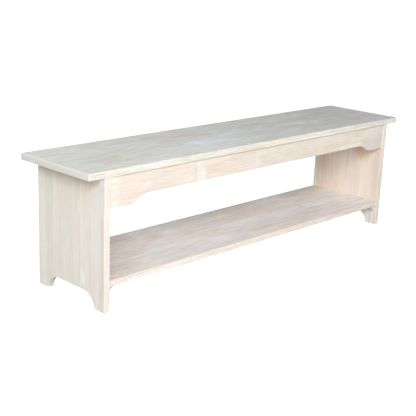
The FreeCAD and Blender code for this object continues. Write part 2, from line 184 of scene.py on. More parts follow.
# %% Floor and sky
FLOOR_REACH = 60.0
FLOOR_DROP = 0.0003
FLOOR_LOOK = {"Base Color": grey(0.50), "Roughness": 0.9, "Specular IOR Level": 0.1,
              "Emission Color": grey(1)}
FLOOR_GLOW = 0.12
BURN = (0.8, 3.0, 0.80, 0.95)  # metres from the middle where the glow grows, and how far
SKY_LOW = grey(0.03)
SKY_HIGH = (0.01, 0.01, 0.012)
SKY_TOP = 0.8

floor_mesh = bpy.data.meshes.new("floor")
square = [(-1, -1), (1, -1), (1, 1), (-1, 1)]
corners = [(x * FLOOR_REACH, y * FLOOR_REACH, -FLOOR_DROP) for x, y in square]
floor_mesh.from_pydata(corners, [], [(0, 1, 2, 3)])
floor = bpy.data.objects.new("floor", floor_mesh)
bpy.context.scene.collection.objects.link(floor)
floor_material, shader, desk = plain_material("white_sweep")
floor_mesh.materials.append(floor_material)
from_middle = desk.vector("LENGTH", desk.put("TexCoord")["Object"])
seen = desk.put("LightPath")["Is Camera Ray"]
glow = desk.times(desk.ease(from_middle, *BURN), seen, FLOOR_GLOW)
desk.fill(shader, {**FLOOR_LOOK, "Emission Strength": glow})

world = bpy.data.worlds.new("soft_sky")
bpy.context.scene.world = world
world.use_nodes = True
desk = Desk(world.node_tree)
height = desk.parts(desk.put("TexCoord")["Generated"])["Z"]
gradient = desk.put("ValToRGB", {0: height})["Color"]
low_end, high_end = gradient.node.color_ramp.elements
low_end.color = (*SKY_LOW, 1)
high_end.color = (*SKY_HIGH, 1)
high_end.position = SKY_TOP
sky = desk.mix(desk.put("LightPath")["Is Camera Ray"], gradient, grey(1))
desk.fill(world.node_tree.nodes["Background"], {"Color": sky})
bpy.context.scene.view_settings.view_transform = "Standard"
print("floor", 2 * FLOOR_REACH, "m wide; sky from", SKY_LOW, "to", SKY_HIGH)

# %% [markdown]
# ## Soft lights
# The main soft box stands close to the camera, not much above the slab: the overhang throws a
# shadow a few centimetres deep on the end panel, and the light still reaches the back of the shelf.
# Weaker, cooler boxes hang higher and over the left end, so the slab fades towards its far end.
# An area light shines down its own Z axis, so that axis is turned to point back from the bench.

# %% Soft boxes
LIGHTS = {  # place, point it faces, two sides of the box, watts, colour
    "main": ((-3.0, -3.0, 1.9), (0, 0, 0.25), (1.5, 1.5), 125, (1, 0.98, 0.95)),
    "left": ((-3.8, -2.0, 2.2), (0, 0, 0.25), (1.5, 1.2), 29, (0.8, 0.96, 1)),
    "left_high": ((-2.6, -2.6, 3.2), (0, 0, 0.3), (1.6, 1.6), 27, (0.74, 0.85, 1)),
    "front_high": ((-0.6, -3.6, 3.0), (0, 0, 0.3), (2.4, 1.4), 69, (0.92, 0.95, 1)),
    "over_left": ((-2.2, 0.4, 2.4), (-0.4, 0, 0.3), (1.2, 1.2), 16, (0.74, 0.88, 1)),
    "right": ((2.5, -3.5, 1.8), (0, 0, 0.25), (1.5, 1.2), 27, (0.88, 0.95, 1)),
    "right_low": ((3.2, 0.1, 0.3), (0.7, 0, 0.2), (0.5, 0.5), 12, (1, 0.93, 0.88)),
    "behind": ((0.0, 4.0, 1.2), (0, 0, 0.2), (3.0, 1.6), 68, (1, 0.92, 0.92)),
}

for name, (place, aim, size, power, colour) in LIGHTS.items():
    data = bpy.data.lights.new(name, "AREA")
    data.shape = "RECTANGLE"
    data.size, data.size_y = size
    data.energy = power
    data.color = colour
    lamp = bpy.data.objects.new(name, data)
    lamp.location = place
    lamp.rotation_euler = (Vector(aim) - Vector(place)).to_track_quat("-Z", "Y").to_euler()
    bpy.context.scene.collection.objects.link(lamp)
    print(name, power, "W at", place)

# %% [markdown]
# ## Staves glued side by side
# A board this wide is glued up from narrow staves, and each stave from short lengths joined end to
# end with small fingers. Every length came from another part of the tree, so its tone and its grain
# differ. The group counts rows across the board and lengths along it, and draws random numbers from
# both counts. The grain of every length is moved by its own random step, so no line runs on across a
# joint. Two boards on either side of the bench get different numbers from their distance.

# %% Group: stave layout
FINGER_PITCH = 0.0045
FINGER_LENGTH = 0.009
GLUE_LINE_WIDTH = 0.0006
SWAY_TURN, SWAY_SIZE = 1.9, 0.16
BOARDS_PER_METRE = 2.0
SEED_PER_BOARD = 7.0
GRAIN_JUMP = (7.0, 5.0, 3.0)
RING_JUMP = 5.0
PITH_SIDE = (0.05, -0.025)
PITH_DEPTH = (0.09, 0.03)
staves, desk, given, result = effect(
    "stave layout", ["Vector", "Stave Width", "Piece Length", "First Joint", "Shuffle", "Seed"],
    ["Vector", "Local", "Tone", "Tint", "Line"])
width, length = given["Stave Width"], given["Piece Length"]
along, across, through = desk.parts(given["Vector"])[:3]
steps = desk.math("DIVIDE", across, width)
sway = desk.math("SINE", desk.times(steps, SWAY_TURN, given["Seed"]))
steps = desk.times(sway, SWAY_SIZE, steps)
row = desk.math("FLOOR", steps)
board_number = desk.math("FLOOR", desk.times(through, BOARDS_PER_METRE))
board_seed = desk.times(board_number, SEED_PER_BOARD, given["Seed"])
row_dice = desk.put("TexWhiteNoise", {"Vector": desk.join(row, board_seed)}, noise_dimensions="2D")
fingers = desk.math("PINGPONG", across, FINGER_PITCH / 2)
from_joint = desk.math("SUBTRACT", along, given["First Joint"])
cut = desk.times(fingers, 2 * FINGER_LENGTH / FINGER_PITCH, from_joint)
shift = desk.times(row_dice["Value"], given["Shuffle"])
lengths = desk.math("ADD", desk.math("DIVIDE", cut, length), shift)
number = desk.join(desk.math("FLOOR", lengths), row, board_seed)
dice = desk.put("TexWhiteNoise", {"Vector": number}, noise_dimensions="3D")["Color"]
first, second, third = desk.put("SeparateColor", {0: dice})
from_middle = desk.times(desk.math("SUBTRACT", desk.math("FRACT", steps), 0.5), width)
local = desk.join(desk.times(first, RING_JUMP, along),
                  desk.math("ADD", from_middle, desk.times(second, *PITH_SIDE)),
                  desk.math("ADD", through, desk.times(third, *PITH_DEPTH)))
to_side = desk.times(desk.math("PINGPONG", steps, 0.5), width)
to_end = desk.times(desk.math("PINGPONG", lengths, 0.5), length)
line = desk.ease(desk.math("MINIMUM", to_side, to_end), 0.0, GLUE_LINE_WIDTH, 1.0, 0.0)
moved = desk.vector("ADD", given["Vector"], desk.vector("MULTIPLY", dice, GRAIN_JUMP))
desk.fill(result, {"Vector": moved, "Local": local, "Tone": first, "Tint": second, "Line": line})
print("group", staves.name, "with", len(staves.nodes), "nodes")

# %% [markdown]
# ## Grain
# Along the trunk wood hardly changes, across it changes every few millimetres, so each noise is
# stretched along the first axis. The layers are broad soft bands, the year rings (circles round the
# heart of the tree, cut lengthwise into arches and lines), streaks and fine fibres, the short dark
# vessels that are typical of this wood, and dull clouds where the fibres stand up after sanding.
# Fibres and vessels also give the height for the bump.

# %% Group: wood grain
NOISES = {  # cells in a metre along and across the grain, detail, distortion
    "Bands": (5.0, 46.0, 3.0, 0.6),
    "Streaks": (13.0, 300.0, 2.0, 0.3),
    "Fibres": (22.0, 900.0, 2.0, 0.0),
    "Clouds": (5.5, 30.0, 4.0, 1.0)}
VESSEL_NOISE, VESSEL_EDGES = (75.0, 1500.0, 0.0), (0.62, 0.72)
DRIFT_NOISE = (3.2, 22.0)
RING_TURN, RING_DRIFT, RING_EDGES = 900.0, 26.0, (-0.6, 1.0)
FIBRE_HEIGHT, VESSEL_HEIGHT = 0.6, -0.9
grain, desk, given, result = effect(
    "wood grain", ["Vector", "Local"],
    ["Bands", "Rings", "Streaks", "Fibres", "Vessels", "Clouds", "Height"])
layers = {label: desk.noise(given["Vector"], *facts) for label, facts in NOISES.items()}
layers["Vessels"] = desk.ease(desk.noise(given["Vector"], *VESSEL_NOISE), *VESSEL_EDGES)
side, depth = desk.parts(given["Local"])[1:3]
from_pith = desk.vector("LENGTH", desk.join(0.0, side, depth))
drift = desk.times(desk.noise(given["Local"], *DRIFT_NOISE), RING_DRIFT)
ring_phase = desk.times(from_pith, RING_TURN, drift)
layers["Rings"] = desk.ease(desk.math("SINE", ring_phase), *RING_EDGES)
raised = desk.times(layers["Fibres"], FIBRE_HEIGHT)
layers["Height"] = desk.times(layers["Vessels"], VESSEL_HEIGHT, raised)
desk.fill(result, layers)
print("group", grain.name, "with", len(grain.nodes), "nodes")

# %% [markdown]
# ## Marks of single staves
# Some lengths stand out: chalky white, tan, rosy or lilac. A mark is a soft block with rounded
# corners, the fourth root of the summed fourth powers of the offsets, and a stretched noise frays
# its border along the grain. Where the marks lie was read off the picture.

# %% Group: soft mark
FRAY_SIZE = 2.6
MARK_BORDER = 0.8
mark_group, desk, given, result = effect(
    "soft mark", ["Vector", "Fray", "Centre", "Half Size", "Softness"], ["Mask"])
offset = desk.vector("SUBTRACT", given["Vector"], given["Centre"])
offset = desk.vector("DIVIDE", offset, given["Half Size"])
squared = desk.vector("MULTIPLY", offset, offset)
fourth = desk.parts(desk.vector("MULTIPLY", squared, squared))
total = desk.math("ADD", desk.math("ADD", fourth[0], fourth[1]), fourth[2])
frayed = desk.times(given["Fray"], FRAY_SIZE, -FRAY_SIZE / 2 - MARK_BORDER)
beyond_border = desk.math("ADD", desk.math("POWER", total, 0.25), frayed)
inner = desk.times(given["Softness"], -1.0)
desk.fill(result, {"Mask": desk.ease(beyond_border, inner, given["Softness"], 1.0, 0.0)})
print("group", mark_group.name, "with", len(mark_group.nodes), "nodes")

# %% [markdown]
# ## The bare wood finish
# One recipe makes all the wooden parts, each with its own turn of the grain, stave width, seed and
# tones. It reads object coordinates, which run in metres through the whole part, so the grain goes
# on round every edge and an end shows cut-off fibres without any unwrapping. The bands mix light and
# dark, every length leans to a warm or a cool tone, and marks, glue lines and vessels come on top.
# The rounded edges are painted a little paler, a painted highlight, and cut ends drink light and look
# greyer.
# Bare sanded wood is rough, with a faint sheen at low angles.

# %% Wood recipe
ALONG_X = (0.0, 0.0, 0.0)
UPRIGHT = (0.0, math.pi / 2, 0.0)
ON_EDGE = (-math.pi / 2, 0.0, 0.0)
ALONG_Y = (0.0, 0.0, -math.pi / 2)
CHALK = (0.80, 0.83, 0.90)
GLUE_LINE = (0.36, 0.27, 0.18)
VESSEL = (0.42, 0.32, 0.22)
BAND_EDGES = (0.34, 0.66)
WARM_EDGES, COOL_EDGES, LEAN = (0.45, 1.0), (0.0, 0.55), 0.65
STREAK_EDGES = (0.25, 0.75)
CLOUD_EDGES = (0.55, 0.75)
TONE_DOWN, TONE_UP = 0.05, 0.04
FRAY_NOISE = (12.0, 70.0, 4.0, 0.8)
FIBRE_DEPTH = 0.05
STRENGTH = {"rings": 0.22, "line": 0.22, "vessels": 0.20, "cut": 0.6, "arris_highlight": 0.35}
ROUGHNESS = (0.2, 0.8, 0.58, 0.76)
SHEEN = {"Specular IOR Level": 0.35, "Sheen Weight": 0.12, "Sheen Roughness": 0.45}
BUMP = {"Strength": 0.35, "Distance": 0.00025}
finishes = {}


def bare_wood(name, turn, stave, length, seed, light, dark, warm, cool, cut, marks=(), first_joint=0.0,
              shuffle=9.0, contrast=1.0, chalk=0.5, streak=0.08, ragged=0.8, soft=0.45):
    """A finish whose grain runs along one axis. Sizes in metres, colours linear; a mark is a place and
    half sizes along x, y and z, a colour and a strength."""
    material, shader, desk = plain_material(name)
    turned = desk.put("Mapping", {"Vector": desk.put("TexCoord")["Object"], "Rotation": turn})[0]
    layout = desk.use(staves, Vector=turned, Stave_Width=stave, Piece_Length=length,
                      First_Joint=first_joint, Shuffle=shuffle, Seed=seed)
    layers = desk.use(grain, Vector=layout["Vector"], Local=layout["Local"])
    colour = desk.mix(desk.ease(layers["Bands"], *BAND_EDGES), light, dark)
    colour = desk.mix(desk.ease(layout["Tint"], *WARM_EDGES, 0.0, LEAN), colour, warm)
    colour = desk.mix(desk.ease(layout["Tint"], *COOL_EDGES, LEAN, 0.0), colour, cool)
    colour = desk.lay(colour, layers["Rings"], STRENGTH["rings"] * contrast, dark)
    tone = desk.mix(layout["Tone"], grey(1.0 - TONE_DOWN * contrast), grey(1.0 + TONE_UP * contrast))
    colour = desk.mix(1.0, colour, tone, "MULTIPLY")
    colour = desk.mix(desk.ease(layers["Clouds"], *CLOUD_EDGES, 0.0, chalk), colour, CHALK)
    fray = desk.times(desk.noise(turned, *FRAY_NOISE), ragged, 0.5 - 0.5 * ragged)
    grain_turn = Euler(turn).to_matrix()
    for centre, half, shade, strength in marks:
        mark = desk.use(mark_group, Vector=turned, Fray=fray, Centre=grain_turn @ centre,
                        Half_Size=[abs(size) for size in grain_turn @ half], Softness=soft)
        colour = desk.lay(colour, mark["Mask"], strength, shade)
    for layer, depth in (("Streaks", streak * contrast), ("Fibres", FIBRE_DEPTH * contrast)):
        wave = desk.ease(layers[layer], *STREAK_EDGES)
        colour = desk.mix(1.0, colour, desk.mix(wave, grey(1.0 - depth), grey(1.0 + depth)), "MULTIPLY")
    colour = desk.lay(colour, layout["Line"], STRENGTH["line"], GLUE_LINE)
    colour = desk.lay(colour, layers["Vessels"], STRENGTH["vessels"] * contrast, VESSEL)
    # The rounded edges take the light tone as a painted highlight; cut ends take the greyer end-grain
    # tone.
    for attribute, shade in (("cut", cut), ("arris_highlight", light)):
        mask = desk.put("Attribute", attribute_name=attribute)["Fac"]
        colour = desk.lay(colour, mask, STRENGTH[attribute], shade)
    roughness = desk.ease(layers["Fibres"], *ROUGHNESS)
    bump = desk.put("Bump", {**BUMP, "Height": layers["Height"]})[0]
    desk.fill(shader, {**SHEEN, "Base Color": colour, "Roughness": roughness, "Normal": bump})
    print(name, "with", len(marks), "marks and", len(desk.tree.nodes), "nodes")
    finishes[name] = material


print("recipe ready")

# %% [markdown]
# ## Where the marks lie
# Marks are listed for one flat face at a time, in millimetres, so that a row can be read against the
# picture: two numbers for the place on the face, two half sizes, a colour and a strength.

# %% Marks on a face
TAN = (0.69, 0.55, 0.42)
ROSE = (0.82, 0.69, 0.60)
LILAC = (0.79, 0.76, 0.80)
WHITE = (0.88, 0.90, 0.93)
CREAM = (0.88, 0.87, 0.82)
HONEY = (0.86, 0.76, 0.58)
PEACH = (0.86, 0.77, 0.67)
SHADOW_BROWN = (0.72, 0.62, 0.48)
DARK_LINE = (0.58, 0.44, 0.34)


def on_face(axis, level, depth, rows):
    """Marks on the face where x, y or z has one level, in mm. A row's place and half sizes are along the
    other two axes, and depth is the half size along the third."""
    marks = []
    for *place, wide, high, shade, strength in rows:
        half = [wide, high]
        place.insert("xyz".index(axis), level)
        half.insert("xyz".index(axis), depth)
        marks.append((Vector(place) * MM, Vector(half) * MM, shade, strength))
    return marks


print("colours for the marks: tan, rose, lilac, white, cream, honey, peach and two browns")

# %% [markdown]
# ## Wood of the slab
# The slab is greyish cream. A chalky patch with white places lies left of its middle, some lengths at
# the back are tan, and the far end is greyer. Its front edge is yellower than its face.

# %% Slab wood
SLAB_STAVE, SLAB_SEED = 0.054, 3.0
slab_marks = on_face("z", 428, 20, [
    (-600, 20, 170, 60, (0.80, 0.785, 0.72), 0.35),
    (-320, -95, 210, 85, (0.93, 0.91, 0.89), 0.45),
    (-390, 30, 90, 50, CREAM, 0.40),
    (30, 0, 190, 34, (0.88, 0.86, 0.82), 0.40),
    (510, 5, 150, 80, (0.63, 0.61, 0.56), 0.40),
    (670, 0, 120, 150, (0.72, 0.71, 0.73), 0.20),
    (755, 0, 26, 170, (0.84, 0.83, 0.84), 0.40),
    (270, -148, 50, 20, CREAM, 0.35),
    (-150, -60, 140, 80, (0.88, 0.87, 0.90), 0.45),
    (-235, -40, 42, 26, WHITE, 0.95),
    (-150, -50, 80, 22, WHITE, 0.60),
    (-95, 4, 18, 8, WHITE, 0.50),
    (335, -10, 42, 26, WHITE, 0.80),
    (80, 12, 60, 26, LILAC, 0.50),
    (475, 15, 50, 24, LILAC, 0.35),
    (690, 55, 60, 22, LILAC, 0.40),
    (680, -120, 70, 28, LILAC, 0.55),
    (-650, 102, 110, 13, WHITE, 0.50),
    (-300, 97, 60, 26, TAN, 0.42),
    (-180, 68, 60, 16, TAN, 0.40),
    (155, 62, 90, 18, TAN, 0.42),
    (255, -42, 70, 15, (0.66, 0.48, 0.38), 0.42),
    (-320, -34, 45, 13, TAN, 0.30),
    (580, 75, 80, 30, (0.60, 0.54, 0.40), 0.35),
    (-640, -35, 40, 20, TAN, 0.22)])
slab_marks += on_face("y", -162, 4, [
    (0, 417.5, 900, 20, (0.78, 0.705, 0.59), 0.80),
    (-540, 420, 110, 20, WHITE, 0.12),
    (20, 418, 100, 20, (0.84, 0.72, 0.54), 0.60),
    # Painted light on the lower part of the front edge, where the rounded underside is in shade.
    (390, 411, 330, 7, (0.90, 0.86, 0.80), 0.50),
    (305, 417, 60, 12, (0.86, 0.88, 0.84), 0.55)])
slab_marks += on_face("x", -762, 4, [
    (0, 425, 170, 5, (0.95, 0.88, 0.70), 0.80),
    (0, 412, 170, 7, (0.76, 0.68, 0.70), 0.70),
    (60, 418, 50, 8, ROSE, 0.50),
    (-142, 409, 20, 10, (0.86, 0.79, 0.82), 0.50)])
bare_wood(
    "slab_wood", ALONG_X, SLAB_STAVE, length=0.46, seed=SLAB_SEED, light=(0.83, 0.815, 0.750),
    dark=(0.74, 0.69, 0.595), warm=(0.79, 0.73, 0.65), cool=(0.79, 0.79, 0.74), cut=(0.66, 0.61, 0.54),
    contrast=1.2, streak=0.11, marks=slab_marks)

# %% [markdown]
# ## Wood of the ends
# The left end shows its outside: upright stripes of greenish cream and rose, a painted brownish shadow
# under the slab, and one bright spot near the floor. The right end shows its inside, painted warmer for
# light bounced off the shelf, with thin dark lines, a pale stripe, and a painted warm shadow under the
# apron.

# %% End wood
END_STAVE, END_SEED = 0.046, 5.0
end_marks = on_face("x", -704, 20, [
    (140, 190, 26, 260, (0.90, 0.86, 0.77), 0.50),
    # Painted shadow: the two SHADOW_BROWN rows darken the panel under the slab's overhang, and the small
    # bluish row at the front corner (-151, 390) tints that painted shadow.
    (0, 392, 300, 26, SHADOW_BROWN, 0.55),
    (30, 362, 60, 20, SHADOW_BROWN, 0.30),
    (150, 360, 12, 26, CREAM, 0.60),
    (-151, 390, 9, 12, (0.84, 0.80, 0.86), 0.50),
    (25, 295, 34, 60, ROSE, 0.50),
    (-22, 335, 10, 34, ROSE, 0.45),
    (-22, 215, 9, 28, ROSE, 0.40),
    (62, 105, 24, 60, ROSE, 0.50),
    (-98, 315, 22, 65, ROSE, 0.30),
    (-102, 75, 20, 85, ROSE, 0.55),
    (-151, 130, 12, 200, (0.72, 0.625, 0.555), 0.65),
    (-148, 350, 14, 55, (0.82, 0.79, 0.83), 0.50),
    (-41, 298, 8, 28, (0.86, 0.85, 0.76), 0.50),
    (-63, 243, 15, 40, LILAC, 0.28),
    (8, 135, 20, 48, LILAC, 0.22),
    (-28, 110, 16, 50, (0.86, 0.82, 0.74), 0.35),
    (-64, 84, 11, 26, WHITE, 0.75),
    (-135, 225, 6, 60, LILAC, 0.55),
    (-130, 330, 5, 50, LILAC, 0.40)])
# Inside the left arch: a painted highlight on the outer half of the cut face and a painted dark
# blue-grey shadow on its inner half.
end_marks += on_face("z", 30, 30, [
    (-695, 92, 5, 30, (0.98, 0.98, 1.00), 0.80),
    (-688, 92, 3, 30, (0.26, 0.28, 0.42), 0.80)])
end_marks += on_face("x", 683, 10, [
    # Painted bounce light: a warm tone over the whole inside face, standing in for light thrown back by
    # the shelf.
    (0, 200, 300, 600, (0.87, 0.74, 0.625), 0.75),
    (132, 230, 20, 150, (0.93, 0.76, 0.61), 0.50),
    (152, 130, 12, 100, (0.97, 0.88, 0.78), 0.55),
    (112, 222, 22, 45, (0.86, 0.62, 0.42), 0.50),
    (80, 230, 28, 150, (0.91, 0.79, 0.66), 0.45),
    (38, 245, 50, 55, (0.96, 0.85, 0.72), 0.40),
    (115, 200, 2, 120, DARK_LINE, 0.28),
    (97, 230, 2, 100, DARK_LINE, 0.24),
    (70, 200, 2, 120, DARK_LINE, 0.22),
    (20, 200, 22, 150, (0.90, 0.80, 0.68), 0.45),
    (-4, 220, 2, 120, DARK_LINE, 0.35),
    (-14, 245, 9, 85, (0.86, 0.81, 0.80), 0.75),
    (-12, 145, 14, 60, (0.93, 0.87, 0.85), 0.40),
    (-40, 270, 15, 60, (0.86, 0.67, 0.54), 0.40),
    (-52, 185, 8, 80, (0.82, 0.66, 0.53), 0.35),
    (-88, 190, 24, 130, (0.90, 0.80, 0.67), 0.45),
    (-145, 215, 18, 150, (0.73, 0.61, 0.55), 0.60),
    # Painted shadow: a deep warm shade on the inside face close under the apron.
    (-98, 318, 48, 30, (0.84, 0.55, 0.35), 0.55),
    (-66, 282, 34, 34, (0.84, 0.56, 0.36), 0.55),
    (-130, 30, 40, 40, (0.86, 0.85, 0.86), 0.60),
    (-132, 25, 4, 36, (0.68, 0.55, 0.46), 0.60),
    (-155, 25, 3, 36, (0.72, 0.60, 0.50), 0.60)])
end_marks += on_face("y", -160, 6, [
    (693.5, 200, 60, 260, (0.82, 0.70, 0.61), 0.45),
    (693.5, 320, 60, 60, (0.84, 0.77, 0.74), 0.40),
    # Painted highlight along the outer rounded corner of the right panel's front edge.
    (701, 345, 6, 90, (0.95, 0.90, 0.87), 0.65),
    (-693.5, 200, 60, 300, (0.80, 0.70, 0.62), 0.45),
    (-693.5, 358, 60, 44, (0.74, 0.65, 0.57), 0.40)])
bare_wood(
    "end_wood", UPRIGHT, END_STAVE, length=1.4, seed=END_SEED, light=(0.832, 0.778, 0.675),
    dark=(0.785, 0.712, 0.605), warm=(0.820, 0.712, 0.615), cool=(0.792, 0.758, 0.690),
    cut=(0.65, 0.59, 0.54), contrast=0.6, chalk=0.3, streak=0.06, marks=end_marks)

# %% [markdown]
# ## Wood of the aprons
# An apron is one stave high, with a joint about every 30 cm, so its lengths differ like pages: a pale
# one at the left, peach ones, a bluish white strip at a joint, and a yellower one on the right.

# %% Apron wood
apron_marks = on_face("y", -155, 20, [
    (-664, 360, 23, 80, (0.87, 0.79, 0.71), 0.55),
    (-535, 358, 175, 50, (0.745, 0.635, 0.555), 0.70),
    (-545, 360, 20, 11, (0.86, 0.81, 0.76), 0.32),
    (-327, 365, 11, 50, (0.88, 0.84, 0.80), 0.50),
    (-308, 360, 14, 24, (0.88, 0.85, 0.83), 0.50),
    (-300, 396, 40, 10, (0.82, 0.72, 0.60), 0.35),
    (-52, 365, 11, 40, PEACH, 0.45),
    (-385, 353, 42, 12, (0.83, 0.71, 0.60), 0.45),
    (-95, 355, 80, 12, (0.86, 0.79, 0.73), 0.40),
    (400, 365, 150, 60, HONEY, 0.22),
    (291, 368, 26, 40, (0.82, 0.73, 0.58), 0.60),
    (405, 348, 34, 7, (0.84, 0.82, 0.84), 0.45),
    (475, 344, 90, 12, (0.90, 0.83, 0.75), 0.50),
    (578, 385, 45, 18, (0.88, 0.82, 0.76), 0.35),
    (625, 360, 65, 80, LILAC, 0.18),
    (668, 380, 18, 30, (0.66, 0.58, 0.52), 0.40),
    # Painted shadow: a thin brown line along the top of the apron, under the slab's edge.
    (-330, 408, 400, 4, (0.70, 0.52, 0.41), 0.40),
    (430, 408, 380, 3, (0.74, 0.60, 0.50), 0.15)])
bare_wood(
    "apron_wood", ON_EDGE, stave=0.200, length=0.3015, seed=7.0, light=(0.822, 0.722, 0.630),
    dark=(0.763, 0.643, 0.532), warm=(0.812, 0.678, 0.590), cool=(0.792, 0.722, 0.625),
    cut=(0.62, 0.53, 0.44), first_joint=-0.645, shuffle=0.0, chalk=0.35, streak=0.06, ragged=0.3,
    soft=0.30, marks=apron_marks)

# %% [markdown]
# ## Wood of the shelf
# The shelf is the pinkest board and the most mixed one: whitish lengths lie between brownish ones.
# Two small knots show near its left end, and its front edge is a lighter peach.

# %% Shelf wood
SHELF_STAVE, SHELF_SEED = 0.052, 11.0
PALE_PINK = (0.88, 0.83, 0.80)
shelf_marks = on_face("y", -157, 8, [
    (0, 87, 900, 20, (0.86, 0.75, 0.635), 0.80),
    (520, 87, 200, 20, (0.76, 0.65, 0.53), 0.45),
    (-540, 88, 150, 20, (0.90, 0.88, 0.86), 0.22),
    (-350, 89, 60, 9, (0.90, 0.85, 0.80), 0.40),
    (-80, 87, 60, 20, HONEY, 0.50)])
shelf_marks += on_face("z", 97, 10, [
    (-235, 70, 42, 28, WHITE, 0.60),
    (-320, 62, 45, 22, TAN, 0.35),
    (-335, 134, 125, 26, (0.88, 0.86, 0.86), 0.65),
    (-370, -60, 130, 70, (0.86, 0.82, 0.80), 0.35),
    (-500, -22, 100, 26, (0.66, 0.57, 0.50), 0.55),
    (-480, -88, 60, 22, PALE_PINK, 0.45),
    (-612, -112, 85, 62, (0.68, 0.58, 0.53), 0.60),
    (-195, 18, 40, 12, (0.76, 0.68, 0.50), 0.35),
    (-110, -16, 70, 20, (0.74, 0.64, 0.52), 0.45),
    (-120, 62, 80, 22, PALE_PINK, 0.35),
    (-150, -98, 130, 32, (0.90, 0.86, 0.82), 0.50),
    (-140, -86, 60, 22, WHITE, 0.55),
    (55, -14, 100, 24, WHITE, 0.45),
    (115, -12, 40, 22, WHITE, 0.35),
    (560, -38, 115, 36, (0.91, 0.85, 0.82), 0.45),
    (450, -28, 55, 22, WHITE, 0.75),
    (575, -100, 75, 22, WHITE, 0.55),
    (640, 10, 45, 75, (0.91, 0.84, 0.79), 0.40),
    (350, 118, 85, 30, (0.88, 0.86, 0.87), 0.70),
    (390, 62, 125, 28, PALE_PINK, 0.45),
    (200, 98, 60, 24, PALE_PINK, 0.35),
    (600, 104, 80, 26, (0.89, 0.82, 0.77), 0.35),
    (140, -120, 135, 42, (0.81, 0.64, 0.54), 0.45),
    (80, -93, 55, 22, (0.74, 0.56, 0.42), 0.35),
    (300, -105, 110, 38, (0.77, 0.65, 0.57), 0.55),
    (0, 128, 110, 25, (0.78, 0.66, 0.56), 0.45),
    (520, 15, 70, 30, (0.88, 0.82, 0.79), 0.50),
    (580, 135, 100, 14, TAN, 0.25),
    (-475, -32, 10, 6, TAN, 0.80),
    (-578, -77, 8, 5, TAN, 0.70)])
bare_wood(
    "shelf_wood", ALONG_X, SHELF_STAVE, length=0.44, seed=SHELF_SEED, light=(0.86, 0.815, 0.775),
    dark=(0.76, 0.68, 0.625), warm=(0.81, 0.715, 0.66), cool=(0.82, 0.785, 0.775),
    cut=(0.66, 0.58, 0.50), contrast=1.3, streak=0.09, marks=shelf_marks)

# %% [markdown]
# ## Wood of the hidden helpers
# Strips, blocks, battens and dowels are offcuts. Nobody sands them, so they share one plain sawn
# mixture, and only the direction of the grain and the seed differ.

# %% Sawn wood
SAWN = {"light": (0.80, 0.73, 0.62), "dark": (0.70, 0.60, 0.47), "warm": (0.76, 0.64, 0.52),
        "cool": (0.74, 0.70, 0.62), "cut": (0.62, 0.57, 0.50), "chalk": 0.3}
bare_wood("cleat_wood", ALONG_Y, stave=0.060, length=0.6, seed=13.0, **SAWN)
bare_wood("block_wood", ALONG_X, stave=0.060, length=0.3, seed=17.0, **SAWN)
bare_wood("dowel_wood", ALONG_X, stave=0.030, length=0.1, seed=19.0, **SAWN)

# %% [markdown]
# ## Zinc
# The batten screws are steel with a thin bright zinc coat, a little yellow and faintly cloudy.

# %% Zinc
ZINC_DULL, ZINC_BRIGHT = (0.62, 0.60, 0.52), (0.78, 0.76, 0.66)
ZINC_NOISE, ZINC_ROUGHNESS = (400.0, 400.0, 3.0), (0.3, 0.7, 0.28, 0.44)
zinc, shader, desk = plain_material("zinc_plate")
cloud = desk.noise(desk.put("TexCoord")["Object"], *ZINC_NOISE)
desk.fill(shader, {"Metallic": 1.0, "Base Color": desk.mix(cloud, ZINC_DULL, ZINC_BRIGHT),
                   "Roughness": desk.ease(cloud, *ZINC_ROUGHNESS)})
finishes["zinc"] = zinc
print("metal:", zinc.name)

# %% [markdown]
# ## The outline of a board
# Every board here is flat, so its shape is an outline with a thickness. The outline is walked
# anticlockwise, and each step keeps a point and the direction that points out of the wood there.
# A run is a straight piece and a bend is part of a circle. Corners are small bends, because a
# sharp corner doesn't survive sandpaper, and because the rounded edge needs room to turn.

# %% Runs and bends
CORNER_STEPS = 4
GUARD = 1.2 * MM
SAME_PLACE = 1e-7


def run(start, end, count, guard=GUARD):
    """A straight piece, normal to its right: both ends, a guard point close to each, even steps."""
    start, end = np.array(start, float), np.array(end, float)
    length = np.linalg.norm(end - start)
    share = np.concatenate([[0], np.linspace(guard / length, 1 - guard / length, count - 2), [1]])
    ahead = (end - start) / length
    points = start + share[:, None] * (end - start)
    return np.hstack([points, np.tile([ahead[1], -ahead[0]], (count, 1))])


def bend(centre, radius, first, last, count=CORNER_STEPS, outward=1):
    """Part of a circle: centre plus radius times (cos, sin) of an angle in even steps, in degrees."""
    angle = np.radians(np.linspace(first, last, count))
    ray = np.stack([np.cos(angle), np.sin(angle)], axis=1)
    return np.hstack([np.array(centre) + radius * ray, outward * ray])


def chain(*pieces):
    """Pieces end to end, without the points that two of them share."""
    rows = np.concatenate(pieces)
    moved = np.linalg.norm(np.diff(rows[:, :2], axis=0), axis=1) > SAME_PLACE
    return rows[np.concatenate([[True], moved])]


def mirrored(rows):
    """The same rows in a mirror at s = 0 and in the reversed order, so still anticlockwise."""
    return rows[::-1] * np.array([-1, 1, -1, 1])


def first_corner(half, low, radius):
    """The lower half of the lower left corner, from its middle on."""
    return bend((radius - half, low + radius), radius, 225, 270)


def flat_side(half, low, radius, count):
    """Lower side of a rectangle from the middle of its left corner to the middle of its right corner."""
    left = first_corner(half, low, radius)
    return chain(left, run((radius - half, low), (half - radius, low), count), mirrored(left))


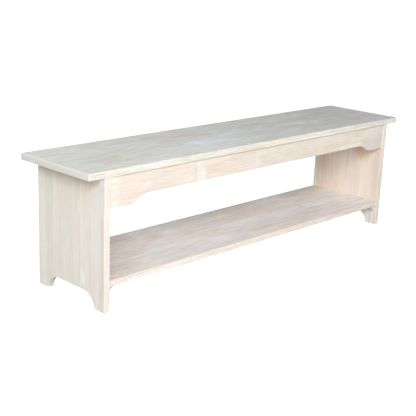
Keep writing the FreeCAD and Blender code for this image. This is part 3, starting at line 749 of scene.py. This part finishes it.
def four_sides(bottom, half, high, low_radius, high_radius, count):
    """The lower side and the three others: right goes straight up, top repeats the places of the lower
    side on a straight line, and left mirrors right."""
    hub = (half - high_radius, high - high_radius)
    right = chain(
        bend((half - low_radius, low_radius - high), low_radius, -45, 0),
        run((half, low_radius - high), (half, high - high_radius), count),
        bend(hub, high_radius, 0, 45))
    corner = bend(hub, high_radius, 45, 90)
    inner = bottom[CORNER_STEPS:-CORNER_STEPS][::-1, 0]
    zero, one = np.zeros(len(inner)), np.ones(len(inner))
    top = np.concatenate([corner, np.column_stack([inner, high * one, zero, one]), mirrored(corner)])
    return bottom, right, top, mirrored(right)


print("outline helpers ready; corners have", 2 * CORNER_STEPS - 1, "points")

# %% [markdown]
# ## From outline to board
# A board's skin has three parts: a front face, a back face, and the edge that joins them. The edge
# is the outline carried through the thickness: it starts inset on the front face, rolls over a
# quarter circle, runs straight, and rolls onto the back face. The face is stretched like a net
# between the four sides (a Coons patch). Sanding is never even, so the roll's radius and the line
# of the edge wander a little, and every stave is hollow by a few hundredths of a millimetre.

# %% Board surface
ROLL_STEPS = 5
EDGE_WANDER = 0.12 * MM
STAVE_HOLLOW = 0.07 * MM
ROLL_WANDER = 0.20
WAVES = np.array([7, 13, 23, 41])
WAVE_HEIGHTS = np.array([0.4, 0.3, 0.2, 0.1])
SHARP_ANGLE = math.radians(40)
CUT_SLOPE, CUT_START = 2.5, 0.4
X_AXIS, Y_AXIS, Z_AXIS = np.eye(3)


def middle_and_half(node):
    """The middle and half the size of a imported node's box."""
    low, high = (np.array(corner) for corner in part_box(node))
    return (low + high) / 2, (high - low) / 2


def wander(share, seed):
    """Smooth noise round a closed line: four sines with whole numbers of waves, from -1 to 1."""
    phase = np.random.default_rng(seed).uniform(0, 2 * np.pi, len(WAVES))
    return (np.sin(2 * np.pi * share[:, None] * WAVES + phase) * WAVE_HEIGHTS).sum(1)


def coons(bottom, right, top, left):
    """A net between four sides: the sum of the two straight blends less the blend of the corners."""
    top, left = top[::-1], left[::-1]
    u = ((bottom[:, 0] - bottom[0, 0]) / (bottom[-1, 0] - bottom[0, 0]))[None, :, None]
    v = ((left[:, 1] - left[0, 1]) / (left[-1, 1] - left[0, 1]))[:, None, None]
    lengthwise = (1 - v) * bottom[None] + v * top[None]
    crosswise = (1 - u) * left[:, None] + u * right[:, None]
    corners = (1 - v) * ((1 - u) * bottom[0] + u * bottom[-1]) + v * ((1 - u) * top[0] + u * top[-1])
    return lengthwise + crosswise - corners


def net_faces(index, flip=False):
    """Four-cornered faces of a grid of vertex numbers, anticlockwise, or clockwise when flipped."""
    corners = [index[:-1, :-1], index[:-1, 1:], index[1:, 1:], index[1:, :-1]]
    faces = np.stack(corners, axis=-1).reshape(-1, 4)
    return faces[:, ::-1] if flip else faces


def volume_of(mesh):
    """The volume inside a closed mesh, positive if its faces point out."""
    solid = bmesh.new()
    solid.from_mesh(mesh)
    volume = solid.calc_volume(signed=True)
    solid.free()
    return volume


def make_piece(name, points, faces, finish, node, grain_axis, arris_highlight=0.0):
    """Makes a smooth mesh object that rides on the frame in place of a node. Two attributes tell a wood
    where it is rounded off, which gets a painted highlight, and where it is cut across the grain."""
    mesh = bpy.data.meshes.new(name)
    mesh.from_pydata(points.tolist(), [], [face for block in faces for face in block.tolist()])
    mesh.polygons.foreach_set("use_smooth", np.ones(len(mesh.polygons), bool))
    mesh.set_sharp_from_angle(angle=SHARP_ANGLE)
    normals = np.zeros(len(mesh.vertices) * 3)
    mesh.vertices.foreach_get("normal", normals)
    facing = np.abs(normals.reshape(-1, 3) @ grain_axis)
    across_grain = np.clip((facing - CUT_START) * CUT_SLOPE, 0, 1)
    for label, values in (("arris_highlight", np.zeros(len(points)) + arris_highlight), ("cut", across_grain)):
        mesh.attributes.new(label, "FLOAT", "POINT").data.foreach_set("value", values.astype(np.float32))
    mesh.materials.append(finishes[finish])
    piece = bpy.data.objects.new(name, mesh)
    bpy.context.scene.collection.objects.link(piece)
    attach(piece, "root")
    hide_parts(node)
    print(f"{name}: {len(mesh.polygons)} faces, {volume_of(mesh) * 1e6:.1f} cm3")


def board(name, node, finish, axes, grain_axis, sides, roll, relief, seed):
    """The skin of a board. axes: directions of s, t and w; sides: four chains; roll(s, t): rounding
    radius. An edge point is outline - normal * roll * (1 - sin a), at w = half - roll * (1 - cos a),
    where a goes from 0 to 90."""
    centre, half_sizes = middle_and_half(node)
    half = np.abs(axes[2]) @ half_sizes
    ring = np.concatenate([side[:-1] for side in sides])
    count = len(ring)
    steps = np.linalg.norm(np.diff(ring[:, :2], axis=0, append=ring[:1, :2]), axis=1)
    share = np.concatenate([[0], np.cumsum(steps)[:-1]]) / steps.sum()
    line = ring[:, :2] - ring[:, 2:] * EDGE_WANDER * (0.5 + 0.5 * wander(share, seed))[:, None]
    radius = roll(ring[:, 0], ring[:, 1]) * (1 + ROLL_WANDER * wander(share, seed + 1))
    turn = np.radians(np.linspace(0, 90, ROLL_STEPS))[:, None]
    inset = radius * (1 - np.sin(turn))
    depth = half - radius * (1 - np.cos(turn))
    inset = np.concatenate([inset, np.zeros((2, count)), inset[::-1]])
    depth = np.concatenate([depth, [depth[-1] - GUARD, GUARD - depth[-1]], -depth[::-1]])
    edge = np.dstack([line - inset[..., None] * ring[:, 2:], depth])
    cuts = np.cumsum([0] + [len(side) - 1 for side in sides])
    loops = [np.arange(cuts[i], cuts[i + 1] + 1) % count for i in range(4)]
    net = coons(*[edge[0, loop, :2] for loop in loops])
    rows, columns = net.shape[:2]
    face = net[1:-1, 1:-1].reshape(-1, 2)
    front = np.column_stack([face, np.full(len(face), half)])
    edge_points = edge.reshape(-1, 3)
    points = np.concatenate([edge_points, front, front * [1, 1, -1]])
    points[:, 2] *= 1 - STAVE_HOLLOW / half * relief(points[:, 0], points[:, 1])

    def net_index(edge_row, first_inner):
        index = np.zeros((rows, columns), int)
        bottom, right, top, left = (loop + edge_row * count for loop in loops)
        index[0], index[:, -1], index[-1], index[:, 0] = bottom, right, top[::-1], left[::-1]
        index[1:-1, 1:-1] = (first_inner + np.arange(len(face))).reshape(rows - 2, columns - 2)
        return index

    around = np.arange(len(edge_points)).reshape(-1, count)
    around = np.concatenate([around, around[:, :1]], axis=1)
    faces = [net_faces(around, flip=True), net_faces(net_index(0, len(edge_points))),
             net_faces(net_index(len(depth) - 1, len(edge_points) + len(front)), flip=True)]
    easing = [0.5, *np.ones(ROLL_STEPS - 2), 0.5]
    rounded = np.zeros(len(points))
    rounded[:len(edge_points)] = np.repeat([*easing, 0, 0, *easing], count)
    places = centre + points @ np.array(axes)
    make_piece(name, places, faces, finish, node, grain_axis, rounded)


print("board helpers ready; an edge has", 2 * ROLL_STEPS + 2, "rows of points")

# %% [markdown]
# ## The slab
# The seat is the simplest board: a rectangle, eased on every edge. Its size is read from the
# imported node, so the finer surface lies exactly where the CAD solid does. Its staves are counted
# as the stave layout group counts them, so each hollow lies between two glue lines of the finish.

# %% Slab
SLAB_CORNER = 2.0 * MM
BOARD_ROLL = 1.5 * MM
LYING = (X_AXIS, Y_AXIS, Z_AXIS)


def hollow(count):
    """From 0 at a glue line to 1 in the middle of a stave."""
    return 0.5 - 0.5 * np.cos(2 * np.pi * count)


def stave_hollow(across, width, seed):
    """The hollow over a board's staves: across / width, swayed by a sine, counts them."""
    steps = across / width
    return hollow(steps + SWAY_SIZE * np.sin(SWAY_TURN * steps + seed))


half = middle_and_half("top_board")[1]
bottom = flat_side(half[0], -half[1], SLAB_CORNER, count=110)
board("slab", "top_board", "slab_wood", LYING, X_AXIS,
      four_sides(bottom, half[0], half[1], SLAB_CORNER, SLAB_CORNER, count=60),
      roll=lambda s, t: np.full_like(s, BOARD_ROLL),
      relief=lambda s, t: stave_hollow(t, SLAB_STAVE, SLAB_SEED), seed=21)

# %% [markdown]
# ## The end panels
# Each end is an upright board whose lower edge is cut out between two feet: a short curve, less
# than a quarter circle, climbs from each foot to a level line. The sharp toe where the curve meets
# the floor is rounded too; its centre lies one corner radius inside both the floor line and the curve.

# %% End panels
FOOT = 46 * MM
ARCH_HEIGHT = 47 * MM
ARCH_RADIUS = 53 * MM
FOOT_CORNER = 2.6 * MM
TIGHT_CORNER = 0.9 * MM
TIGHT_ROLL = 0.4 * MM
PANEL_FADE = 9 * MM


def fading(distance, reach):
    """The full rounding, shrinking to a tight one over the last stretch before a joint."""
    share = np.clip(distance / reach, 0, 1)
    return TIGHT_ROLL + (BOARD_ROLL - TIGHT_ROLL) * share * share * (3 - 2 * share)


def footed_side(half, low):
    """Lower side of an end panel: foot, rounded toe, curve, level line, and the same mirrored."""
    lift = math.asin((ARCH_RADIUS - ARCH_HEIGHT) / ARCH_RADIUS)
    crown = half - FOOT - ARCH_RADIUS * math.cos(lift)
    hub = (-crown, low + ARCH_HEIGHT - ARCH_RADIUS)
    outer = ARCH_RADIUS + FOOT_CORNER
    tilt = math.asin((low + FOOT_CORNER - hub[1]) / outer)
    knee = (hub[0] - outer * math.cos(tilt), low + FOOT_CORNER)
    left = chain(
        first_corner(half, low, FOOT_CORNER),
        run((FOOT_CORNER - half, low), (knee[0], low), count=9),
        bend(knee, FOOT_CORNER, -90, -math.degrees(tilt), count=6),
        bend(hub, ARCH_RADIUS, 180 - math.degrees(tilt), 90, count=16, outward=-1))
    level = run((-crown, low + ARCH_HEIGHT), (crown, low + ARCH_HEIGHT), count=24)
    return chain(left, level, mirrored(left))


for label, node, seed in (("left_end", "left_end_panel", 31), ("right_end", "right_end_panel", 37)):
    half = middle_and_half(node)[1]
    high = half[2]
    board(label, node, "end_wood", (Y_AXIS, Z_AXIS, X_AXIS), Z_AXIS,
          four_sides(footed_side(half[1], -high), half[1], high, FOOT_CORNER, TIGHT_CORNER, count=46),
          roll=lambda s, t: fading(high - t, PANEL_FADE),
          relief=lambda s, t: stave_hollow(s, END_STAVE, END_SEED), seed=seed)

# %% [markdown]
# ## The aprons
# The rails under the slab are full depth at the ends and step up to a shallower middle. The step
# is an ogee: one curve that bulges out of the wood and one that bites into it, meeting where both
# run in the same direction. How far both turn follows from the rise: rise = (r1 + r2)(1 - cos turn).

# %% Aprons
APRON_FLAT = 83 * MM
APRON_RISE = 25 * MM
APRON_DEPTH = 94 * MM
OGEE_LOWER = 30 * MM
OGEE_UPPER = 75 * MM
GLUED_FROM = 40 * MM
JOINT_FADE = 14 * MM


def stepped_side(half, low):
    """Lower side of an apron: flat end, ogee up, long level middle, and the same mirrored."""
    turn = math.acos(1 - APRON_RISE / (OGEE_LOWER + OGEE_UPPER))
    flat = half - APRON_FLAT
    level = flat - (OGEE_LOWER + OGEE_UPPER) * math.sin(turn)
    degrees = math.degrees(turn)
    left = chain(
        first_corner(half, low, TIGHT_CORNER),
        run((TIGHT_CORNER - half, low), (-flat, low), count=9),
        bend((-flat, low + OGEE_LOWER), OGEE_LOWER, -90, -90 + degrees, count=12),
        bend((-level, low + APRON_RISE - OGEE_UPPER), OGEE_UPPER, 90 + degrees, 90, count=14,
             outward=-1))
    middle = run((-level, low + APRON_RISE), (level, low + APRON_RISE), count=90)
    return chain(left, middle, mirrored(left))


for label, node, seed in (("front_rail", "front_apron", 41), ("rear_rail", "rear_apron", 43)):
    half = middle_and_half(node)[1]
    length = half[0]
    board(label, node, "apron_wood", (X_AXIS, Z_AXIS, -Y_AXIS), X_AXIS,
          four_sides(stepped_side(length, -half[2]), length, half[2], TIGHT_CORNER, TIGHT_CORNER,
                     count=18),
          roll=lambda s, t: np.where(t > GLUED_FROM, TIGHT_ROLL, fading(length - np.abs(s), JOINT_FADE)),
          relief=lambda s, t: hollow(t / APRON_DEPTH + 0.5), seed=seed)

# %% [markdown]
# ## The shelf
# The shelf is a plain board between the ends. Only its long edges are rounded off: the short ones
# are glued against the panels, so there the rounding fades to a sharp, tight corner.

# %% Shelf
half = middle_and_half("shelf_board")[1]
length = half[0]
bottom = flat_side(length, -half[1], TIGHT_CORNER, count=100)
board("shelf_plank", "shelf_board", "shelf_wood", LYING, X_AXIS,
      four_sides(bottom, length, half[1], TIGHT_CORNER, TIGHT_CORNER, count=58),
      roll=lambda s, t: fading(length - np.abs(s), JOINT_FADE),
      relief=lambda s, t: stave_hollow(t, SHELF_STAVE, SHELF_SEED), seed=51)

# %% [markdown]
# ## Skins made of rings
# Strips, dowels and screws are long, so their skins are rings set one behind another along an axis,
# closed at both ends with a fan of triangles round a pole. The same skin can then be set down at
# several places, each with its own three directions.

# %% Rings and copies
def closed_rings(rings, first_pole, last_pole):
    """Faces between rings that run anticlockwise about the way they follow, and a fan at each pole."""
    rows, count = rings.shape[:2]
    around = np.arange(rows * count).reshape(rows, count)
    around = np.concatenate([around, around[:, :1]], axis=1)
    first = np.full(count, rows * count)
    start = np.stack([first, around[0, 1:], around[0, :-1]], axis=1)
    end = np.stack([first + 1, around[-1, :-1], around[-1, 1:]], axis=1)
    points = np.concatenate([rings.reshape(-1, 3), [first_pole, last_pole]])
    return points, [net_faces(around), start, end]


def turned_skin(radius, angle, place, first_pole, last_pole):
    """A skin about Z: radius is a table with one row for each place along the axis."""
    height = np.repeat(place[:, None], len(angle), axis=1)
    rings = np.dstack([radius * np.cos(angle), radius * np.sin(angle), height])
    return closed_rings(rings, (0, 0, first_pole), (0, 0, last_pole))


def copies(points, faces, origins, axes):
    """The same skin at several origins: origin + points times the three directions."""
    placed = np.array(origins)[:, None] + np.einsum("ni,kij->knj", points, np.array(axes))
    steps = np.arange(len(origins)) * len(points)
    return placed.reshape(-1, 3), [np.concatenate([block + step for step in steps]) for block in faces]


print("ring helpers ready")

# %% [markdown]
# ## Strips under the shelf, blocks behind the aprons
# Both are sawn from the same three-cornered strip: a square stick ripped from corner to corner. Two
# sides are planed and glued, the long side still shows the faint even waves of the saw. The section
# is a right-angled triangle with its corners taken off, and the waves are a cosine along the strip.

# %% Strips and blocks
SAW_PITCH = 4.0 * MM
SAW_DEPTH = 0.12 * MM
SAMPLES_PER_WAVE = 5
STRIP_CORNER = 0.8 * MM
STRIP_ROLL = 0.6 * MM
STRIP_GUARD = 0.4 * MM
SAWN_FOCUS = 16


def corner_section(width, drop, radius):
    """Anticlockwise ring of a right-angled triangle, (0, 0), (0, -drop), (width, 0), with round corners.
    Each corner's centre lies one radius inside both of its sides."""
    slope = math.hypot(width, drop)
    lean = math.degrees(math.atan2(width, drop))
    low = (drop * radius - drop * width + slope * radius) / width
    far = (drop * width - slope * radius - width * radius) / drop
    normal = np.array([drop, -width]) / slope
    first, second = np.array([radius, low]), np.array([far, -radius])
    ring = chain(
        run((0, -radius), (0, low), count=5, guard=STRIP_GUARD),
        bend(first, radius, 180, 360 - lean),
        run(first + radius * normal, second + radius * normal, count=8, guard=STRIP_GUARD),
        bend(second, radius, -lean, 90),
        run((far, 0), (radius, 0), count=5, guard=STRIP_GUARD),
        bend((radius, -radius), radius, 90, 180))
    return ring[:-1], normal


def strip(name, node, finish, outward):
    """Rings at distance a from the middle: the section less normal * inset, where the inset is
    roll * (1 - sin turn) at the ends and depth * (1 - cos(2 pi a / pitch)) / 2 on the sawn side."""
    middle, half = middle_and_half(node)
    along = np.cross(outward, Z_AXIS)
    width, drop, reach = 2 * np.abs(outward) @ half, 2 * half[2], np.abs(along) @ half
    section, sawn_normal = corner_section(width, drop, STRIP_CORNER)
    turn = np.radians(np.linspace(0, 90, ROLL_STEPS))
    count = int(2 * (reach - STRIP_ROLL) / SAW_PITCH * SAMPLES_PER_WAVE)
    body = np.linspace(STRIP_ROLL - reach, reach - STRIP_ROLL, count)[1:-1]
    end = reach - STRIP_ROLL * (1 - np.cos(turn))
    places = np.concatenate([-end, body, end[::-1]])
    end_inset = STRIP_ROLL * (1 - np.sin(turn))
    inset = np.concatenate([end_inset, np.zeros(len(body)), end_inset[::-1]])
    sawn = np.clip(section[:, 2:] @ sawn_normal, 0, 1) ** SAWN_FOCUS
    wave = SAW_DEPTH * (0.5 - 0.5 * np.cos(2 * np.pi * places / SAW_PITCH))
    drawn_in = inset[:, None] + wave[:, None] * sawn
    flat = section[None, :, :2] - drawn_in[..., None] * section[None, :, 2:]
    rings = np.dstack([flat, np.repeat(places[:, None], len(section), axis=1)])
    heart = section[:, :2].mean(axis=0)
    points, faces = closed_rings(rings, (*heart, -reach), (*heart, reach))
    corner = middle - outward * width / 2 + Z_AXIS * drop / 2
    placed = corner + points @ np.array([outward, Z_AXIS, along])
    rounded = np.repeat(np.clip(inset * 2 / STRIP_ROLL, 0, 1), len(section))
    make_piece(name, placed, faces, finish, node, along, np.append(rounded, [0, 0]))


strip("left_strip", "left_shelf_cleat", "cleat_wood", X_AXIS)
strip("right_strip", "right_shelf_cleat", "cleat_wood", -X_AXIS)
for side, outward in (("front", Y_AXIS), ("rear", -Y_AXIS)):
    for number in (1, 2, 3):
        strip(f"{side}_block_{number}", f"{side}_glue_block_{number}", "block_wood", outward)

# %% [markdown]
# ## Dowels
# A dowel is a rod of hard wood with small flutes pressed into it, so that the glue can rise past it.
# Its ends are bevelled to find the hole. The radius is a function of the angle and of the place
# along the rod: the plain rod less a row of narrow grooves, and less the bevel at the ends.

# %% Dowels
DOWEL_RADIUS = 4.0 * MM
DOWEL_HALF = 15.5 * MM
DOWEL_BEVEL = 1.0 * MM
DOWEL_DISH = 0.2 * MM
DOWEL_LEVELS = np.array([0, 0.4, 0.8, 0.935, 0.94, 0.965, 0.985, 1.0])
FLUTES, STEPS_PER_FLUTE = 16, 6
FLUTE_DEPTH = 0.3 * MM
LEVEL_AXES = (Y_AXIS, Z_AXIS, X_AXIS)


def dowel_skin():
    """Radius = R - bevel - flute depth * max(0, cos(16 angle))^3, about an axis that runs along Z."""
    angle = np.linspace(0, 2 * np.pi, FLUTES * STEPS_PER_FLUTE, endpoint=False)
    place = np.concatenate([-DOWEL_LEVELS[:0:-1], DOWEL_LEVELS]) * DOWEL_HALF
    bevel = np.clip(np.abs(place) - (DOWEL_HALF - DOWEL_BEVEL), 0, None)
    flute = FLUTE_DEPTH * np.clip(np.cos(FLUTES * angle), 0, 1) ** 3
    pole = DOWEL_HALF - DOWEL_DISH
    return turned_skin(DOWEL_RADIUS - bevel[:, None] - flute, angle, place, -pole, pole)


for name, node, rows, levels in (("rail_dowels", "apron_dowels", (-1, 1), (-1, 1)),
                                 ("plank_dowels", "shelf_dowels", (-1, 0, 1), (0,))):
    middle, half = middle_and_half(node)
    reach = half - np.array([DOWEL_HALF, DOWEL_RADIUS, DOWEL_RADIUS])
    origins = [middle + reach * (x, y, z) for x in (-1, 1) for y in rows for z in levels]
    points, faces = copies(*dowel_skin(), origins, [LEVEL_AXES] * len(origins))
    make_piece(name, points, faces, "dowel_wood", node, X_AXIS)

# %% [markdown]
# ## Screws
# Five countersunk screws hold each batten: three go up into the slab, two out into the end panel.
# The head is a flat disc over a cone, with a cross pressed into it; the thread is a helix, so its
# radius depends on the angle plus the place along the screw. The crest is the full diameter.

# %% Batten screws
SCREW_LENGTH = 38 * MM
HEAD_RADIUS = 4.0 * MM
CREST_RADIUS = 2.0 * MM
CORE_RADIUS = 1.4 * MM
SHANK_RADIUS = 1.7 * MM
THREAD_PITCH = 1.8 * MM
THREAD_START = 12 * MM
THREAD_STEPS = 9
POINT_LENGTH = 5 * MM
POINT_GAP = 0.3 * MM
CROSS_HALF = (2.2 * MM, 0.6 * MM)
CROSS_DEPTH = 1.4 * MM
NO_ZERO = 1e-9
QUARTER_ANGLES = np.radians([0, 8, 15.255, 30, 45, 60, 74.745, 82])
SCREW_PITCH = 90 * MM
LEVEL_SCREW_Y = 45 * MM


def screw_skin():
    """A screw that points along Z from the flat face of its head: rings of the cross pressed into the
    head, its rim and cone, the plain shank, and the thread, core + (crest - core) * max(0, wave)^2."""
    angle = np.concatenate([QUARTER_ANGLES + turn * np.pi / 2 for turn in range(4)])
    c, s = np.abs(np.cos(angle)) + NO_ZERO, np.abs(np.sin(angle)) + NO_ZERO
    long, narrow = CROSS_HALF
    cross = np.maximum(np.minimum(long / c, narrow / s), np.minimum(narrow / c, long / s))
    profile = [
        (0.80 * cross, CROSS_DEPTH), (0.97 * cross, 0.1 * MM), (1.02 * cross, 0.0), (3.6 * MM, 0.0),
        (HEAD_RADIUS - 0.06 * MM, 0.0), (HEAD_RADIUS, 0.08 * MM), (HEAD_RADIUS - 0.1 * MM, 0.2 * MM),
        (CREST_RADIUS, 2.0 * MM), (SHANK_RADIUS, 2.6 * MM), (SHANK_RADIUS, THREAD_START - MM)]
    threaded = np.arange(THREAD_START, SCREW_LENGTH - POINT_GAP, THREAD_PITCH / THREAD_STEPS)
    wave = np.cos(angle - 2 * np.pi * threaded[:, None] / THREAD_PITCH)
    fade = np.clip((SCREW_LENGTH - threaded) / POINT_LENGTH, 0, 1)[:, None]
    grow = np.clip((threaded - THREAD_START) / (2 * MM), 0, 1)[:, None]
    crest = (CREST_RADIUS - CORE_RADIUS) * np.clip(wave, 0, 1) ** 2 * grow
    radii, places = zip(*[(radius * np.ones(len(angle)), place) for radius, place in profile])
    radii = np.concatenate([radii, (CORE_RADIUS + crest) * fade])
    places = np.concatenate([places, threaded])
    return turned_skin(radii, angle, places, CROSS_DEPTH, SCREW_LENGTH)


origins, directions = [], []
for sign, node in ((-1, "left_top_cleat"), (1, "right_top_cleat")):
    middle, half = middle_and_half(node)
    origins += [middle + (0, step * SCREW_PITCH, -half[2]) for step in (-1, 0, 1)]
    directions += [LYING] * 3
    origins += [middle + (-sign * half[0], step * LEVEL_SCREW_Y, 0) for step in (-1, 1)]
    directions += [LEVEL_AXES if sign > 0 else (Z_AXIS, Y_AXIS, -X_AXIS)] * 2
points, faces = copies(*screw_skin(), origins, directions)
make_piece("batten_screws", points, faces, "zinc", "cleat_screws", Z_AXIS)

# %% [markdown]
# ## The battens keep their CAD shape
# A square batten with countersunk holes is already right as it comes from the CAD model, so its
# object only gets the sawn finish through its material slots.

# %% Finish the battens
for name in ("left_top_cleat", "right_top_cleat"):
    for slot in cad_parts[name].material_slots:
        slot.material = finishes["cleat_wood"]
    print(name, "has the finish of the strips")
